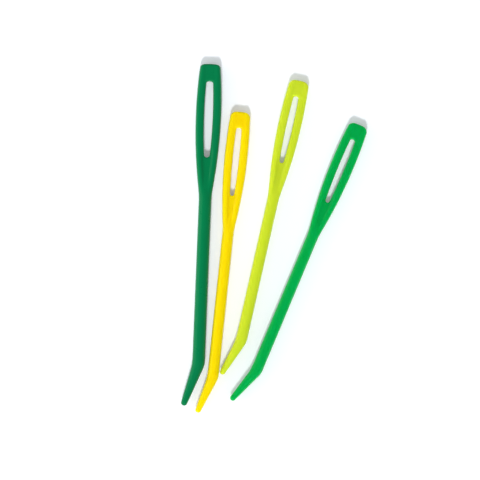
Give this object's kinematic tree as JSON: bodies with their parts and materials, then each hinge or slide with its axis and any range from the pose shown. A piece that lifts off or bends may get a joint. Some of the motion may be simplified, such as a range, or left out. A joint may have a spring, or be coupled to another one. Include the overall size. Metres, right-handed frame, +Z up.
{
  "type": "yarn needle set",
  "caption": "Bent-point plastic yarn needles in two sizes: a flat head with a long eye, a thread groove down the neck, a round shank and a tapered point bent to one side.",
  "frame": {"origin": "on the table under the middle of the four needles' outline, so the shanks rest on z = 0", "axes": "+X to the right of the picture, +Y up the picture towards the needles' heads, +Z up from the table towards the camera"},
  "size_m": [0.049, 0.0918, 0.0033],
  "materials": {
    "dark_green_plastic": "satin",
    "yellow_plastic": "satin",
    "lime_plastic": "satin",
    "green_plastic": "satin"
  },
  "bodies": {
    "root": {"dark_green_needle": "dark_green_plastic", "yellow_needle": "yellow_plastic", "lime_needle": "lime_plastic", "green_needle": "green_plastic"}
  },
  "joints": []
}
